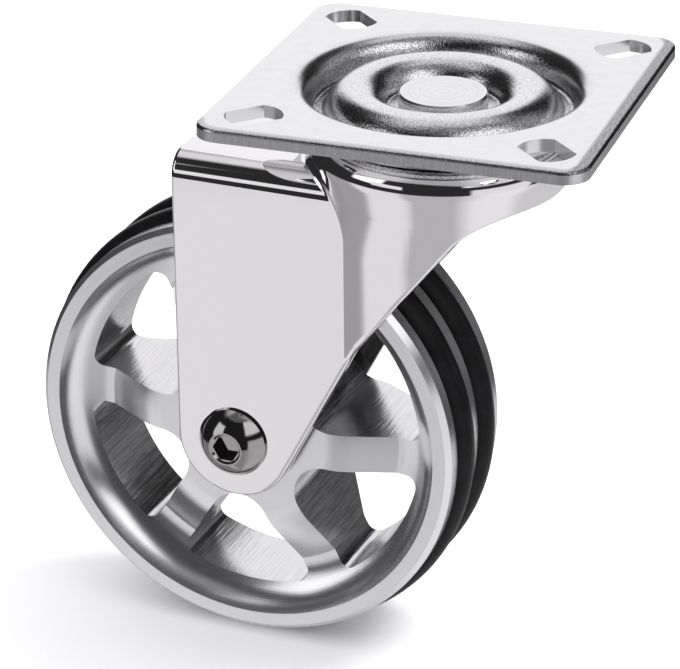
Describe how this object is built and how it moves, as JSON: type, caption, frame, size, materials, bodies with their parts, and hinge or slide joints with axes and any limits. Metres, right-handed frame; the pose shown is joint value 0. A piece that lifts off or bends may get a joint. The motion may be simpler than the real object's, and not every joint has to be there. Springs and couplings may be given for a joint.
{
  "type": "swivel castor",
  "caption": "Swivel castor with a square screw-on plate, a pressed chrome fork and a spoked alloy wheel running on two rubber rings.",
  "frame": {"origin": "centre of the top face of the mounting plate, on the swivel axis", "axes": "+Z is the swivel axis, up out of the plate into the furniture; the wheel trails towards -X; the plate's sides lie along X and Y; the fork rests turned 3.78 degrees clockwise about +Z, as pictured"},
  "size_m": [0.0977, 0.06, 0.0982],
  "materials": {
    "zinc_plate": "satin bright zinc",
    "chrome_fork": "polished chrome",
    "wheel_alloy": "polished and turned",
    "ring_rubber": "smooth dull black",
    "axle_steel": "dark polished chrome",
    "bearing_steel": "ground steel"
  },
  "bodies": {
    "plate": {"top_plate": "zinc_plate", "kingpin": "zinc_plate", "lower_race_cup": "zinc_plate"},
    "upper_ball_row": {"upper_balls": "bearing_steel"},
    "lower_ball_row": {"lower_balls": "bearing_steel"},
    "fork": {"fork": "chrome_fork", "axle_sleeve": "axle_steel", "axle_screw": "axle_steel", "axle_spacer_far": "bearing_steel", "axle_spacer_near": "bearing_steel", "spacer_tube": "bearing_steel", "bearing_inner_far": "bearing_steel", "bearing_inner_near": "bearing_steel"},
    "wheel": {"wheel_rim": "wheel_alloy", "tyre_far": "ring_rubber", "tyre_near": "ring_rubber", "bearing_outer_far": "bearing_steel", "bearing_outer_near": "bearing_steel", "bearing_shields_far": "bearing_steel", "bearing_shields_near": "bearing_steel"},
    "far_cage": {"bearing_balls_far": "bearing_steel", "bearing_cage_far": "bearing_steel"},
    "near_cage": {"bearing_balls_near": "bearing_steel", "bearing_cage_near": "bearing_steel"}
  },
  "joints": [
    {"name": "swivel", "type": "hinge", "parent": "plate", "child": "fork", "pos_m": [0, 0, 0], "axis": [0, 0, 1], "continuous": true},
    {"name": "wheel_spin", "type": "hinge", "parent": "fork", "child": "wheel", "pos_m": [-0.02993, 0.00198, -0.0607], "axis": [0.0659, 0.9978, 0], "continuous": true},
    {"name": "upper_ball_orbit", "type": "hinge", "parent": "plate", "child": "upper_ball_row", "pos_m": [0, 0, 0], "axis": [0, 0, 1], "continuous": true},
    {"name": "lower_ball_orbit", "type": "hinge", "parent": "plate", "child": "lower_ball_row", "pos_m": [0, 0, 0], "axis": [0, 0, 1], "continuous": true},
    {"name": "far_cage_orbit", "type": "hinge", "parent": "fork", "child": "far_cage", "pos_m": [-0.02993, 0.00198, -0.0607], "axis": [0.0659, 0.9978, 0], "continuous": true},
    {"name": "near_cage_orbit", "type": "hinge", "parent": "fork", "child": "near_cage", "pos_m": [-0.02993, 0.00198, -0.0607], "axis": [0.0659, 0.9978, 0], "continuous": true}
  ],
  "couplings": [
    {"joint": "upper_ball_orbit", "follows": "swivel", "ratio": 0.5},
    {"joint": "lower_ball_orbit", "follows": "swivel", "ratio": 0.5},
    {"joint": "far_cage_orbit", "follows": "wheel_spin", "ratio": 0.5983},
    {"joint": "near_cage_orbit", "follows": "wheel_spin", "ratio": 0.5983}
  ]
}
